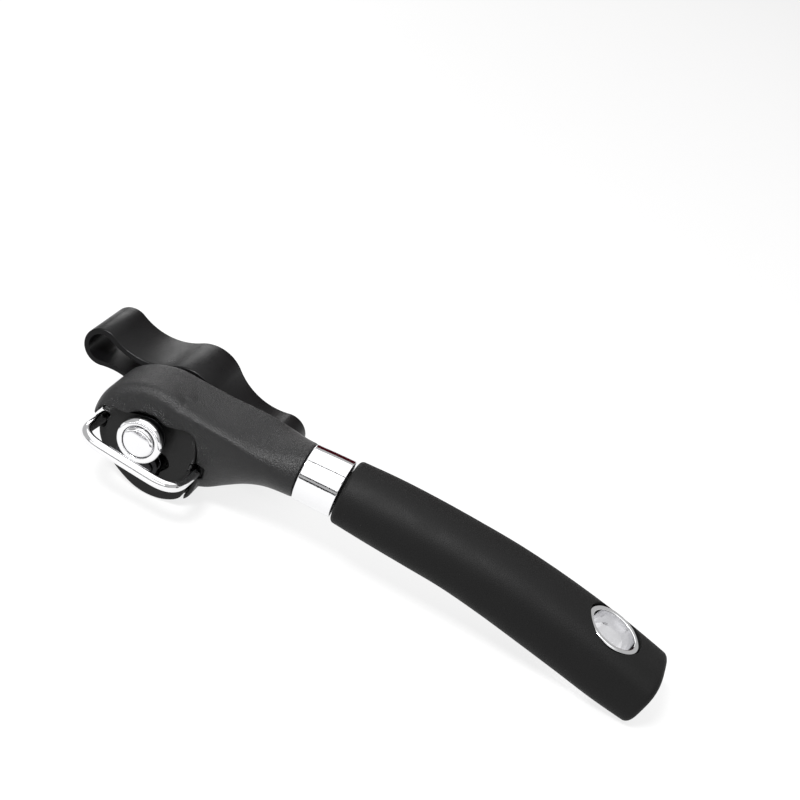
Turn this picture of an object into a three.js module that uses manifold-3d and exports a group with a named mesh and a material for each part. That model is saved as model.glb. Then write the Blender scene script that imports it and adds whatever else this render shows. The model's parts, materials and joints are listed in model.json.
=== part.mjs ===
// Manual side-cut can opener with a long soft grip, a looped crank and a wire bail.
// Millimetres, +Z up. X runs from the head to the tail of the handle, -Y faces the can.
// The opener lies level on its head and its tail; the origin is the bottom centre of its box.
import * as THREE from "three";
import { mergeVertices } from "three/addons/utils/BufferGeometryUtils.js";
import Module from "manifold-3d";

const wasm = await Module();
wasm.setup();

// ---- driving dimensions -------------------------------------------------
const PITCH = THREE.MathUtils.degToRad(3.87); // turns the opener so that head and tail both rest
const GAP = 0.3; // running and fitting clearance

const FLANGE_R = 7.4; // chrome flange of the drive wheel
const FLANGE_T = 2.2;
const FEED_R = 6.2; // toothed wheel behind the flange
const FEED_T = 2.6;
const FEED_TEETH = 26;
const SHAFT_R = 3.1;
const SHAFT_END = 44.6; // Y of the rear end of the shaft

const BLOCK_FRONT = 6.0; // Y of the front face of the carrier block
const BLOCK_BACK = 13.0;
const HEAD_FRONT = 3.6; // Y of the hood's front rim
const HEAD_BACK = 21.6; // Y where the back cover starts
const COVER_BACK = 24.4;
const HANDLE_Y = 12.4; // centre plane of the handle

const CRANK_NEAR = 30.6; // Y of the crank band's front edge
const CRANK_FAR = 51.8;
const CRANK_HALF = 37.3; // hub centre to lobe end
const LOBE_R = 6.4;
const HUB_R = 12.2;
const WAIST_R = 20.6; // concave radius between hub and lobe
const BAND_T = 1.8; // wall of the crank's band
const CRANK_DROP = THREE.MathUtils.degToRad(15.3);

const CUTTER_X = 2.6;
const CUTTER_Z = -9.7;
const CUTTER_R = 3.2;
const PIVOT_X = -6.0; // jaw pivot
const PIVOT_Z = -8.5;

const WIRE_R = 1.75; // bail wire
const BAIL_HALF = 16.3;
const BAIL_REACH = 18.62; // pivot to crossbar
const BAIL_DROP = THREE.MathUtils.degToRad(12.1); // crossbar slope seen from the front
const BAIL_LIFT = THREE.MathUtils.degToRad(6.6); // legs rise towards the front
const BAIL_PIVOT = new THREE.Vector3(0.8, 9.0, -4.0);

const FERRULE_R = 9.2;
const FERRULE_X0 = 48.7;
const FERRULE_X1 = 61.3;
const TAIL_X = 164.71;

// ---- materials ----------------------------------------------------------
const blackBody = { color: 0x1b1b1c, roughness: 0.62, metalness: 0.0 };
const blackSatin = { color: 0x161617, roughness: 0.42, metalness: 0.0 };
const softBlack = { color: 0x1a1a1b, roughness: 0.85, metalness: 0.0 };
const chrome = { color: 0xd9dadb, roughness: 0.12, metalness: 1.0 };
const steel = { color: 0xa9abad, roughness: 0.35, metalness: 1.0 };
const darkSteel = { color: 0x2c2d2f, roughness: 0.4, metalness: 1.0 };
const brass = { color: 0xb58a44, roughness: 0.35, metalness: 1.0 };

// ---- helpers ------------------------------------------------------------
// A three.js geometry as a manifold-3d solid.
function solid(geometry) {
  const bare = geometry.index ? geometry.toNonIndexed() : geometry.clone();
  bare.deleteAttribute("normal");
  bare.deleteAttribute("uv");
  const merged = mergeVertices(bare, 1e-4);
  return new wasm.Manifold(
    new wasm.Mesh({
      numProp: 3,
      vertProperties: merged.attributes.position.array,
      triVerts: new Uint32Array(merged.index.array),
    }),
  );
}

// A manifold-3d solid as a named mesh.
function piece(name, shape, look) {
  const made = shape.getMesh();
  const geometry = new THREE.BufferGeometry();
  geometry.setAttribute("position", new THREE.BufferAttribute(made.vertProperties, 3));
  geometry.setIndex(new THREE.BufferAttribute(made.triVerts, 1));
  geometry.computeVertexNormals();
  const mesh = new THREE.Mesh(geometry, new THREE.MeshStandardMaterial(look));
  mesh.name = name;
  return mesh;
}

// A turned body along +Y from [radius, y] pairs; the first and last radius close on the axis.
function turned(profile, segments = 36) {
  const points = profile.map(([r, y]) => new THREE.Vector2(r, y));
  const geometry = new THREE.LatheGeometry(points, segments);
  const made = solid(geometry);
  return made.volume() < 0 ? turned([...profile].reverse(), segments) : made;
}

// A cylinder along Y between two planes.
function rod(radius, y0, y1, x = 0, z = 0, segments = 24) {
  const geometry = new THREE.CylinderGeometry(radius, radius, y1 - y0, segments);
  geometry.translate(x, (y0 + y1) / 2, z);
  return solid(geometry);
}

// A hollow ring along Y.
function ring(outer, inner, y0, y1, x = 0, z = 0, segments = 24) {
  return rod(outer, y0, y1, x, z, segments).subtract(rod(inner, y0 - 1, y1 + 1, x, z, segments));
}

// A box by its two corners.
function block(x0, x1, y0, y1, z0, z1) {
  const geometry = new THREE.BoxGeometry(x1 - x0, y1 - y0, z1 - z0);
  geometry.translate((x0 + x1) / 2, (y0 + y1) / 2, (z0 + z1) / 2);
  return solid(geometry);
}

// A closed smooth outline through (x, z) points.
function outline(points, divisions) {
  const curve = new THREE.CatmullRomCurve3(
    points.map(([x, z]) => new THREE.Vector3(x, z, 0)),
    true,
    "centripetal",
  );
  return new THREE.Shape(
    curve
      .getPoints(divisions)
      .slice(0, -1)
      .map((p) => new THREE.Vector2(p.x, p.y)),
  );
}

// A closed geometry as a solid, turned right side out if its faces look inwards.
function facingOut(geometry) {
  const made = solid(geometry);
  if (made.volume() > 0) return made;
  const flipped = geometry.index ? geometry.toNonIndexed() : geometry;
  const position = flipped.attributes.position;
  for (let i = 0; i < position.count; i += 3) {
    const a = new THREE.Vector3().fromBufferAttribute(position, i);
    const c = new THREE.Vector3().fromBufferAttribute(position, i + 2);
    position.setXYZ(i, c.x, c.y, c.z);
    position.setXYZ(i + 2, a.x, a.y, a.z);
  }
  return solid(flipped);
}

// An (x, z) shape given thickness along Y: edges rounded by bevel, or the outline grown.
function plate(shape, y0, y1, bevel = 0, steps = 1, grow = 0) {
  const geometry = new THREE.ExtrudeGeometry(shape, {
    depth: y1 - y0 - 2 * bevel,
    bevelEnabled: bevel > 0 || grow > 0,
    bevelThickness: bevel,
    bevelSize: bevel,
    bevelOffset: grow - bevel,
    bevelSegments: steps,
    curveSegments: 9,
  });
  geometry.translate(0, 0, bevel);
  geometry.rotateX(Math.PI / 2);
  geometry.scale(1, -1, 1);
  geometry.translate(0, y0, 0);
  return facingOut(geometry);
}

// Linear interpolation in a short table of [x, value...] rows with smooth joins.
function along(rows, x) {
  let k = 0;
  while (k < rows.length - 2 && x > rows[k + 1][0]) k += 1;
  const [a, b] = [rows[k], rows[k + 1]];
  const before = rows[Math.max(k - 1, 0)];
  const after = rows[Math.min(k + 2, rows.length - 1)];
  const span = b[0] - a[0];
  const t = (x - a[0]) / span;
  return a.slice(1).map((value, i) => {
    const start = ((b[i + 1] - before[i + 1]) / (b[0] - before[0])) * span;
    const end = ((after[i + 1] - a[i + 1]) / (after[0] - a[0])) * span;
    const [t2, t3] = [t * t, t * t * t];
    return (
      (2 * t3 - 3 * t2 + 1) * value +
      (t3 - 2 * t2 + t) * start +
      (3 * t2 - 2 * t3) * b[i + 1] +
      (t3 - t2) * end
    );
  });
}

// A body of sections along x: section(x, angle, radius, s) gives the [x, y, z] of each point,
// with radius 0 to 1 on the two ends and s 0 to 1 along the body.
function lofted(x0, x1, rings, sides, section) {
  const geometry = new THREE.CylinderGeometry(1, 1, 1, sides, rings);
  const position = geometry.attributes.position;
  for (let i = 0; i < position.count; i += 1) {
    const s = 0.5 - position.getY(i);
    const radius = Math.hypot(position.getX(i), position.getZ(i));
    const turn = Math.atan2(position.getZ(i), position.getX(i)) / (2 * Math.PI);
    const angle = (2 * Math.PI * ((Math.round(turn * sides) + sides) % sides)) / sides;
    position.setXYZ(i, ...section(x0 + (x1 - x0) * s, angle, radius, s));
  }
  return facingOut(geometry);
}

const superpose = (value, power) => Math.sign(value) * Math.abs(value) ** power;

// A handle-like body whose rounded sections lean with the centre line.
// rows hold [x, centre z, half width, half height, squareness], grow offsets the section.
function swept(rows, x0, x1, rings, sides, grow = 0, ends = 0) {
  return lofted(x0, x1, rings, sides, (x, angle, radius, s) => {
    const [cz, width, height, square] = along(rows, x);
    const slope = Math.atan(along(rows, x + 0.5)[0] - along(rows, x - 0.5)[0]);
    const inset = ends * ((1 - Math.min(1, s * rings)) + (1 - Math.min(1, (1 - s) * rings)));
    const dy = superpose(Math.cos(angle), 2 / square) * Math.max(width + grow - inset, 0);
    const dn = superpose(Math.sin(angle), 2 / square) * Math.max(height + grow - inset, 0);
    return [
      x - Math.sin(slope) * dn * radius,
      HANDLE_Y + dy * radius,
      cz + Math.cos(slope) * dn * radius,
    ];
  });
}

// The neck: upright sections with their own reach up, down, forward and back.
// rows hold [x, centre z, up, down, front, rear, squareness above and below, rise of the top].
function neckBody(rows, x0, x1, rings, sides) {
  return lofted(x0, x1, rings, sides, (x, angle, radius) => {
    const [cz, above, below, front, rear, squareAbove, squareBelow, rise] = along(rows, x);
    const [c, q] = [Math.cos(angle), Math.sin(angle)];
    const power = 2 / (q > 0 ? squareAbove : squareBelow);
    const dy = superpose(c, power) * (c < 0 ? front : rear);
    const dz = superpose(q, power) * (q > 0 ? above : below);
    const top = dz + rise * Math.max(q, 0) * dy;
    return [x, HANDLE_Y + dy * radius, cz + top * radius];
  });
}

// A round bar along a path of points.
function wire(path, radius, steps, sides = 12) {
  const section = new THREE.Shape();
  section.absarc(0, 0, radius, 0, Math.PI * 2);
  const geometry = new THREE.ExtrudeGeometry(section, {
    steps,
    bevelEnabled: false,
    extrudePath: path,
    curveSegments: sides,
  });
  return solid(geometry);
}

// ---- outlines and sections ----------------------------------------------
// Carrier block seen from the front.
const blockOutline = outline(
  [
    [-14.8, 4.5], [-5, 5.4], [6.9, 6.0], [14.2, 6.0], [16.2, 0], [15.9, -7], [15.2, -12.6],
    [13.8, -17.4], [8.2, -20.1], [0.9, -19.9], [-5.6, -16.8], [-12.8, -10.2], [-15.4, -4.7],
  ],
  44,
);

// Head body seen from the front, hood included.
const headOutline = outline(
  [
    [-18, -1.3], [-17.2, 5.2], [-13.9, 11.1], [-8.2, 14.8], [-1, 16.5], [5.8, 15.9],
    [11.8, 14.4], [15.6, 11.8], [17.2, 4], [17.6, -6], [17.2, -13], [14.6, -19], [7.4, -20.9],
    [-1.7, -18.9], [-7.4, -14.8], [-12.4, -9.5], [-15.9, -5.4],
  ],
  54,
);

// Hood over the wheel, in front of the head body.
const hoodOutline = outline(
  [
    [-18, -1.3], [-17.2, 5.2], [-13.9, 11.1], [-8.2, 14.8], [-1, 16.5], [5.8, 15.9],
    [10.6, 13.4], [12.6, 8], [12.8, 0], [11, -8], [5, -14], [-5, -15.4], [-14, -10.6],
  ],
  44,
);

// Neck from the head to the ferrule: x, centre z, reach up, down, forward and back, squareness
// above and below, and how far the top rises towards the rear.
const neckRows = [
  [-2, 12, 3.9, 24, 8.3, 30, 2.6, 1.4, 0],
  [8, 11, 4.2, 27, 8.75, 30, 3, 1.4, 0.05],
  [18.5, 9.6, 3.7, 24.2, 8.8, 30, 3.3, 1.4, 0.1],
  [26, 8.4, 3.9, 18.8, 8.7, 24, 3.1, 1.75, 0.14],
  [32, 7, 4.5, 14, 8.6, 19, 2.9, 1.9, 0.18],
  [38, 5.5, 5.7, 10.5, 8.6, 14, 2.6, 1.9, 0.14],
  [43.5, 4.5, 7.4, 8.9, 8.8, 11.5, 2.2, 1.95, 0.07],
  [50.5, 4.2, 8.8, 8.8, 8.8, 8.8, 2, 2, 0],
];

// Soft grip: x, centre z, half width, half height, squareness.
const gripRows = [
  [61.1, 3.0, 10.1, 9.8, 2.1],
  [74.7, 1.1, 10.8, 10.3, 2.25],
  [87.4, -0.9, 11.2, 10.4, 2.35],
  [100.3, -3.2, 11.5, 10.3, 2.45],
  [113.6, -6.3, 11.7, 10.7, 2.55],
  [126.4, -10.0, 11.9, 10.9, 2.65],
  [140.7, -14.6, 12.2, 10.7, 2.8],
  [153.1, -19.0, 12.3, 10.2, 3.0],
  [167.4, -24.3, 12.0, 9.7, 3.1],
];

// ---- drive line ---------------------------------------------------------
const shaft = rod(SHAFT_R, FLANGE_T + GAP, SHAFT_END)
  .add(rod(2.0, 0.9, FLANGE_T + 1))
  .subtract(ring(SHAFT_R + 1, 2.6, 17.4, 18.5))
  .subtract(rod(1.8, 34.5, SHAFT_END + 1, 0, 0, 16))
  .subtract(block(-9, 9, 31.2, SHAFT_END + 1, 2.6, 9))
  .subtract(block(-9, 9, 31.2, SHAFT_END + 1, -9, -2.6));

const flange = turned([
  [0, 0.9], [5.2, 0.9], [5.4, 0.1], [6.6, 0], [7.1, 0.4], [FLANGE_R, 1.1], [FLANGE_R, FLANGE_T],
  [0, FLANGE_T],
], 40).subtract(rod(2.3, -2, 5));

const boss = turned([
  [0, -0.5], [4.3, -0.5], [4.9, -0.1], [4.9, 0.6], [0, 0.6],
], 36);

function toothedWheel() {
  const shape = new THREE.Shape();
  for (let i = 0; i < FEED_TEETH * 2; i += 1) {
    const angle = (i / (FEED_TEETH * 2)) * Math.PI * 2;
    const radius = i % 2 ? FEED_R : FEED_R - 0.7;
    const point = [Math.cos(angle) * radius, Math.sin(angle) * radius];
    if (i) shape.lineTo(...point);
    else shape.moveTo(...point);
  }
  shape.closePath();
  const y0 = FLANGE_T + GAP;
  return plate(shape, y0, y0 + FEED_T).subtract(rod(SHAFT_R + 0.25, 0, 9));
}

const frontBush = ring(5.5, SHAFT_R + 0.25, BLOCK_FRONT - 0.3, 12.4)
  .add(ring(6.2, SHAFT_R + 0.25, BLOCK_FRONT - 0.6, BLOCK_FRONT - 0.25));
const rearBush = ring(5.0, SHAFT_R + 0.25, 19.4, 28.6);
const thrustWasher = ring(6.0, SHAFT_R + 0.3, 28.9, 29.7);
const clip = ring(4.8, 2.85, 17.55, 18.35).subtract(block(-1.7, 1.7, 16, 20, -9, -1));

// ---- crank --------------------------------------------------------------
// Outline of the two-lobed band: hub arc, concave waists and round lobes.
function butterfly(inset) {
  const lobe = CRANK_HALF - LOBE_R;
  const toHub = HUB_R + WAIST_R;
  const toLobe = LOBE_R + WAIST_R;
  const cx = (toHub ** 2 - toLobe ** 2 + lobe ** 2) / (2 * lobe);
  const cz = Math.sqrt(toHub ** 2 - cx ** 2);
  const atHub = Math.atan2(cz, cx);
  const atLobe = Math.atan2(cz, cx - lobe);
  const waist = WAIST_R + inset;
  const hub = HUB_R - inset;
  const tip = LOBE_R - inset;
  const shape = new THREE.Shape();
  shape.absarc(0, 0, hub, Math.PI - atHub, atHub, true);
  shape.absarc(cx, cz, waist, atHub + Math.PI, atLobe + Math.PI, false);
  shape.absarc(lobe, 0, tip, atLobe, -atLobe, true);
  shape.absarc(cx, -cz, waist, Math.PI - atLobe, Math.PI - atHub, false);
  shape.absarc(0, 0, hub, -atHub, atHub - Math.PI, true);
  shape.absarc(-cx, -cz, waist, atHub, atLobe, false);
  shape.absarc(-lobe, 0, tip, Math.PI + atLobe, Math.PI - atLobe, true);
  shape.absarc(-cx, cz, waist, -atLobe, -atHub, false);
  return shape;
}

const crankBand = plate(butterfly(0), CRANK_NEAR, CRANK_FAR)
  .subtract(plate(butterfly(BAND_T), CRANK_NEAR - 2, CRANK_FAR + 2))
  .add(rod(HUB_R - 0.6, CRANK_NEAR + 0.4, CRANK_FAR - 0.6, 0, 0, 32))
  .add(rod(6.2, 30.0, CRANK_NEAR + 1))
  .subtract(rod(SHAFT_R + GAP, 20, SHAFT_END + GAP))
  .subtract(rod(5.9, 46.4, CRANK_FAR + 1, 0, 0, 28))
  .subtract(rod(1.9, 40, 50))
  .add(block(-2.2, 2.2, 31.6, SHAFT_END, 2.9, 4.0))
  .add(block(-2.2, 2.2, 31.6, SHAFT_END, -4.0, -2.9));

const crankWasher = ring(4.9, 1.9, 46.7, 47.4);
const crankScrew = rod(1.5, 36, 48.2, 0, 0, 16)
  .add(rod(3.4, 47.7, 49.6))
  .subtract(block(-3.6, 3.6, 48.9, 51, -0.45, 0.45))
  .subtract(block(-0.45, 0.45, 48.9, 51, -3.6, 3.6));
const crankCap = rod(5.6, 50.0, 51.0, 0, 0, 28).add(ring(5.6, 4.8, 47.9, 50.2, 0, 0, 28));

// ---- carrier block with its jaw -----------------------------------------
const jawSlot = outline(
  [
    [-0.6, -8.6], [1.6, -7], [6.6, -4.7], [8.7, -7.9],
    [6.4, -10.8], [5.6, -13.6], [2.8, -14.8], [-0.2, -13.4],
  ],
  24,
);
const jawPocket = outline(
  [
    [-9.5, -8.1], [-6.3, -5.0], [-1.5, -6.7], [3, -6.6], [7.4, -7.2], [7.6, -11.6],
    [5.8, -15], [1.5, -16.4], [-3, -14.5], [-8, -11.8],
  ],
  32,
);
const jawShape = outline(
  [
    [-8.5, -8.5], [-6, -6.1], [-2.5, -7.5], [0.8, -7.7], [4.2, -7.4], [5.6, -9.7],
    [4.3, -12.4], [1.4, -12.6], [-2.6, -10.8], [-6.2, -10.9],
  ],
  36,
);

const bailU = new THREE.Vector3(Math.cos(BAIL_DROP), 0, -Math.sin(BAIL_DROP));
const bailN = new THREE.Vector3(Math.sin(BAIL_DROP), 0, Math.cos(BAIL_DROP));
const bailW = new THREE.Vector3(0, -Math.cos(BAIL_LIFT), 0)
  .addScaledVector(bailN, Math.sin(BAIL_LIFT));

// A point of the bail: across and forward from its pivot.
function bailPoint(across, forward) {
  return BAIL_PIVOT.clone().addScaledVector(bailU, across).addScaledVector(bailW, forward);
}

// A box in the bail's own directions.
function bailBox(across, forward, sizeU, sizeW, sizeN) {
  const geometry = new THREE.BoxGeometry(sizeU, sizeW, sizeN);
  const up = new THREE.Vector3().crossVectors(bailU, bailW);
  geometry.applyMatrix4(new THREE.Matrix4().makeBasis(bailU, bailW, up));
  const at = bailPoint(across, forward);
  geometry.translate(at.x, at.y, at.z);
  return solid(geometry);
}

// A bore along the bail's pivot axis.
function bailBore(radius, from, to) {
  const geometry = new THREE.CylinderGeometry(radius, radius, Math.abs(to - from), 16);
  geometry.rotateZ(-Math.PI / 2);
  geometry.rotateY(BAIL_DROP);
  const at = bailPoint((from + to) / 2, 0);
  geometry.translate(at.x, at.y, at.z);
  return solid(geometry);
}

const legSlot = (side) => bailBox(side * BAIL_HALF, 5.9, 2 * WIRE_R + 0.6, 16.2, 5.2);

let carrier = plate(blockOutline, BLOCK_FRONT, BLOCK_BACK, 0.8, 2)
  .subtract(rod(5.8, 0, 20))
  .subtract(rod(6.5, 0, BLOCK_FRONT + 0.05))
  .subtract(plate(jawSlot, 4, BLOCK_BACK))
  .subtract(plate(jawPocket, 7.4, BLOCK_BACK + 2))
  .subtract(rod(2.0, 0, 20, PIVOT_X, PIVOT_Z));
for (const side of [-1, 1]) {
  carrier = carrier
    .subtract(legSlot(side))
    .subtract(bailBore(WIRE_R + GAP, side * 11.0, side * (BAIL_HALF + 2)));
}

const jaw = plate(jawShape, 7.8, 10.6)
  .subtract(rod(1.95, 0, 20, PIVOT_X, PIVOT_Z, 24))
  .subtract(rod(1.6, 0, 20, CUTTER_X, CUTTER_Z, 24));
const jawPin = rod(1.65, 5.6, 12.6, PIVOT_X, PIVOT_Z, 24)
  .add(rod(2.8, 5.0, 5.7, PIVOT_X, PIVOT_Z, 24));
const cutterPin = rod(1.3, 2.9, 11.2, CUTTER_X, CUTTER_Z, 24)
  .add(rod(2.1, 2.7, 3.3, CUTTER_X, CUTTER_Z, 24));
const cutterWheel = turned([
  [1.6, 3.7], [2.4, 3.7], [CUTTER_R, 4.45], [CUTTER_R, 4.6], [2.4, 5.3], [1.6, 5.3], [1.6, 3.7],
], 36).translate([CUTTER_X, 0, CUTTER_Z]);
const cutterWasher = ring(2.5, 1.6, 5.7, 7.4, CUTTER_X, CUTTER_Z);

// Torsion spring round the jaw pivot.
class SpringCurve extends THREE.Curve {
  getPoint(t, target = new THREE.Vector3()) {
    const turn = t * Math.PI * 3.7;
    return target.set(
      PIVOT_X + 2.4 * Math.cos(turn),
      11.2 + t * 1.3,
      PIVOT_Z + 2.4 * Math.sin(turn),
    );
  }
}
const jawSpring = wire(new SpringCurve(), 0.26, 32, 2);

// ---- wire bail ----------------------------------------------------------
const bailPath = new THREE.CurvePath();
const bend = 7.9;
const endBend = 2.2;
const stub = 11.6;
const corners = [
  bailPoint(-stub, 0),
  bailPoint(-BAIL_HALF, 0),
  bailPoint(-BAIL_HALF, BAIL_REACH),
  bailPoint(BAIL_HALF, BAIL_REACH),
  bailPoint(BAIL_HALF, 0),
  bailPoint(stub, 0),
];
const radii = [0, endBend, bend, bend, endBend, 0];
for (let i = 0; i < corners.length - 1; i += 1) {
  const toNext = corners[i + 1].clone().sub(corners[i]).normalize();
  const from = corners[i].clone().addScaledVector(toNext, radii[i]);
  const to = corners[i + 1].clone().addScaledVector(toNext, -radii[i + 1]);
  bailPath.add(new THREE.LineCurve3(from, to));
  if (i < corners.length - 2) {
    const after = corners[i + 2].clone().sub(corners[i + 1]).normalize();
    const out = corners[i + 1].clone().addScaledVector(after, radii[i + 1]);
    bailPath.add(new THREE.QuadraticBezierCurve3(to, corners[i + 1], out));
  }
}
const bail = wire(bailPath, WIRE_R, 46, 5);

// ---- head ---------------------------------------------------------------
const screwSpots = [[-13.2, 2], [10.9, 9.3], [5, -15.9]];
const rearCavity = rod(9.4, 15.6, HEAD_BACK + 1, 0, 0, 28);

// Round end of the tang, which runs through the ferrule into the neck.
const spigot = (grow, x0, x1) => swept(
  [[34, 3.8, 5.6, 5.6, 2], [45, 4.0, 5.6, 5.6, 2], [56, 3.6, 5.6, 5.6, 2], [69, 1.9, 5.6, 5.6, 2]],
  x0, x1, 4, 18, grow,
);

// Chrome band: x, centre z, half width, half height, squareness.
const ferruleRows = [
  [42, 5.0, FERRULE_R - 0.3, FERRULE_R - 0.3, 2],
  [48.7, 4.2, FERRULE_R - 0.2, FERRULE_R - 0.2, 2],
  [55, 3.6, FERRULE_R, FERRULE_R, 2],
  [61, 3.0, FERRULE_R + 0.1, FERRULE_R + 0.1, 2],
  [68, 2.0, FERRULE_R + 0.2, FERRULE_R + 0.2, 2],
];

let head = plate(hoodOutline, HEAD_FRONT, 16, 3.0, 3)
  .add(plate(headOutline, 9, HEAD_BACK, 0.7, 1))
  .subtract(block(-40, 14, -5, BLOCK_BACK + GAP, -40, -2.9))
  .subtract(block(-40, -11, -5, BLOCK_BACK + GAP, -5, 0.8))
  .add(neckBody(neckRows, -2, 50.5, 15, 32))
  .subtract(swept(ferruleRows, FERRULE_X0 - GAP, FERRULE_X0 + 6, 2, 36, 2))
  .subtract(block(-10, 70, HEAD_BACK, 70, -60, 60))
  .subtract(plate(blockOutline, -5, BLOCK_BACK + GAP, 0, 1, GAP))
  .subtract(rod(8.3, -5, BLOCK_FRONT + 0.2, 0, 0, 32))
  .subtract(rod(SHAFT_R + 0.6, 0, 30))
  .subtract(rearCavity)
  .subtract(spigot(GAP, 38, FERRULE_X0 + 4));
for (const side of [-1, 1]) head = head.subtract(legSlot(side));
for (const [x, z] of screwSpots) head = head.subtract(rod(1.5, 14.5, HEAD_BACK + 1, x, z, 16));

let cover = plate(headOutline, HEAD_BACK + GAP, COVER_BACK, 1.0, 1, -1.4)
  .intersect(rod(30, 10, 40, -1, 0, 40))
  .add(rod(7.7, COVER_BACK - 0.6, 28.2, 0, 0, 28))
  .subtract(rod(5.3, 15, 40));
for (const [x, z] of screwSpots) {
  cover = cover.subtract(rod(1.9, 15, 30, x, z, 16)).subtract(rod(3.1, 23.2, 30, x, z, 20));
}

function screw(x, z) {
  return rod(1.3, 16, 23.7, x, z, 14)
    .add(rod(2.8, 23.5, 24.9, x, z, 20))
    .subtract(block(x - 3.2, x + 3.2, 24.5, 26, z - 0.4, z + 0.4))
    .subtract(block(x - 0.4, x + 0.4, 24.5, 26, z - 3.2, z + 3.2));
}

// ---- handle -------------------------------------------------------------
const tangRows = gripRows.map(([x, z, w, h, q]) => [x, z, w - 4.2, h - 4.2, q]);
const eyeletX = 146.3;
const eyeletZ = along(gripRows, eyeletX)[0];
const eyeletTilt = THREE.MathUtils.degToRad(20);

// An oval prism through the thin direction of the tail.
function oval(halfLength, halfWidth, low, high) {
  const shape = new THREE.Shape();
  shape.absellipse(0, 0, halfLength, halfWidth, 0, Math.PI * 2, false, 0);
  const geometry = new THREE.ExtrudeGeometry(shape, {
    depth: high - low,
    bevelEnabled: false,
    curveSegments: 18,
  });
  geometry.translate(0, 0, low);
  geometry.rotateY(eyeletTilt);
  geometry.translate(eyeletX, HANDLE_Y, eyeletZ);
  return solid(geometry);
}

const tang = swept(tangRows, FERRULE_X1 + 1.2, 132, 8, 18).add(spigot(0, 39, 66));
const seat = 8.0; // half the distance between the two flange seats in the tail

const grip = swept(gripRows, FERRULE_X1 + 2 * GAP, TAIL_X, 24, 28, 0, 1.4)
  .subtract(swept(tangRows, FERRULE_X1 - 3, 132.4, 8, 18, GAP))
  .subtract(oval(8.5, 8.1, -30, 30))
  .subtract(oval(9.4, 9.1, seat, 30))
  .subtract(oval(9.4, 9.1, -30, -seat));

const eyelet = oval(8.2, 7.8, -seat - 0.4, seat + 0.4)
  .add(oval(9.1, 8.8, seat + 0.3, seat + 1.3))
  .add(oval(9.1, 8.8, -seat - 1.3, -seat - 0.3))
  .subtract(oval(7.4, 7.0, -40, 40));

const ferrule = swept(ferruleRows, FERRULE_X0, FERRULE_X1, 3, 36)
  .subtract(spigot(GAP, FERRULE_X0 - 3, FERRULE_X1 + 3));

// ---- assembly -----------------------------------------------------------
const opener = new THREE.Group();
opener.name = "opener";
const crank = new THREE.Group();
crank.rotation.y = CRANK_DROP;
crank.add(
  piece("crank_loop", crankBand, blackSatin),
  piece("crank_washer", crankWasher, steel),
  piece("crank_screw", crankScrew, steel),
  piece("crank_cap", crankCap, blackSatin),
  piece("drive_shaft", shaft, steel),
);
opener.add(
  crank,
  piece("flange_disc", flange, chrome),
  piece("front_rivet", boss, chrome),
  piece("feed_wheel", toothedWheel(), steel),
  piece("front_bush", frontBush, darkSteel),
  piece("rear_bush", rearBush, brass),
  piece("thrust_washer", thrustWasher, steel),
  piece("shaft_clip", clip, darkSteel),
  piece("carrier_block", carrier, blackSatin),
  piece("cutter_jaw", jaw, darkSteel),
  piece("jaw_pin", jawPin, darkSteel),
  piece("cutter_pin", cutterPin, darkSteel),
  piece("cutter_wheel", cutterWheel, darkSteel),
  piece("cutter_washer", cutterWasher, darkSteel),
  piece("jaw_spring", jawSpring, steel),
  piece("wire_bail", bail, chrome),
  piece("head_housing", head, blackBody),
  piece("back_cover", cover, blackBody),
  piece("handle_tang", tang, blackBody),
  piece("grip_sleeve", grip, softBlack),
  piece("hang_eyelet", eyelet, chrome),
  piece("ferrule", ferrule, chrome),
);
screwSpots.forEach(([x, z], i) => opener.add(piece(`housing_screw_${i + 1}`, screw(x, z), steel)));
opener.rotation.y = -PITCH;

// The bottom centre of the box goes to the origin.
const canOpener = new THREE.Group();
canOpener.name = "can_opener";
canOpener.add(opener);
canOpener.updateMatrixWorld(true);
const box = new THREE.Box3().setFromObject(opener, true);
const middle = box.getCenter(new THREE.Vector3());
opener.position.set(-middle.x, -middle.y, -box.min.z);

export default canOpener;
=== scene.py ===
"""Looks of a manual can opener: long soft grip, looped crank, chrome drive wheel and wire bail.

Shapes are written in millimetres in the opener's own frame: the origin is on the drive shaft
at the front of the wheel, +X runs to the tail, +Y to the crank and +Z up. OPENER takes that
frame to the CAD part's frame in metres.
"""

import json
import math

import bmesh
import bpy
from mathutils import Matrix, Vector


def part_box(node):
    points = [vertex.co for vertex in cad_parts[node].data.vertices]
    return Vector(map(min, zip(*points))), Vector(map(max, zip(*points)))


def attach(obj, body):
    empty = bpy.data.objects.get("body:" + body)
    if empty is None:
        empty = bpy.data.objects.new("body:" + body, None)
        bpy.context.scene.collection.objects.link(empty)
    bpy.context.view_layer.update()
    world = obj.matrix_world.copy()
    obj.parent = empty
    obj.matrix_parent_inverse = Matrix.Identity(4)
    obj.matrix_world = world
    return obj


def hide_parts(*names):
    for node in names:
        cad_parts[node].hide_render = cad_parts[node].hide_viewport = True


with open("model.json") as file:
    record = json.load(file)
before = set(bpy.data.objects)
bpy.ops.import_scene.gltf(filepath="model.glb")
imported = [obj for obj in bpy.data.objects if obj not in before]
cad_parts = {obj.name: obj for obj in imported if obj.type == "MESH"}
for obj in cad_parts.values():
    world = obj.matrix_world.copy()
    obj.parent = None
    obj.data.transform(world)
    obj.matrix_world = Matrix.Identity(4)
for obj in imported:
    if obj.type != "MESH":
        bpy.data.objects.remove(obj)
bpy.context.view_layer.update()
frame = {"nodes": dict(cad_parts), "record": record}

# ---- frame of the opener ------------------------------------------------
joints = {joint["name"]: joint for joint in frame["record"]["behaviour"]["joints"]}
PITCH = math.radians(3.87)  # the opener lies on its head and its tail
CRANK_DROP = math.radians(15.3)
shaft_at = Vector(joints["crank_spin"]["pos_m"])
shaft_at.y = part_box("flange_disc")[0].y
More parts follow.
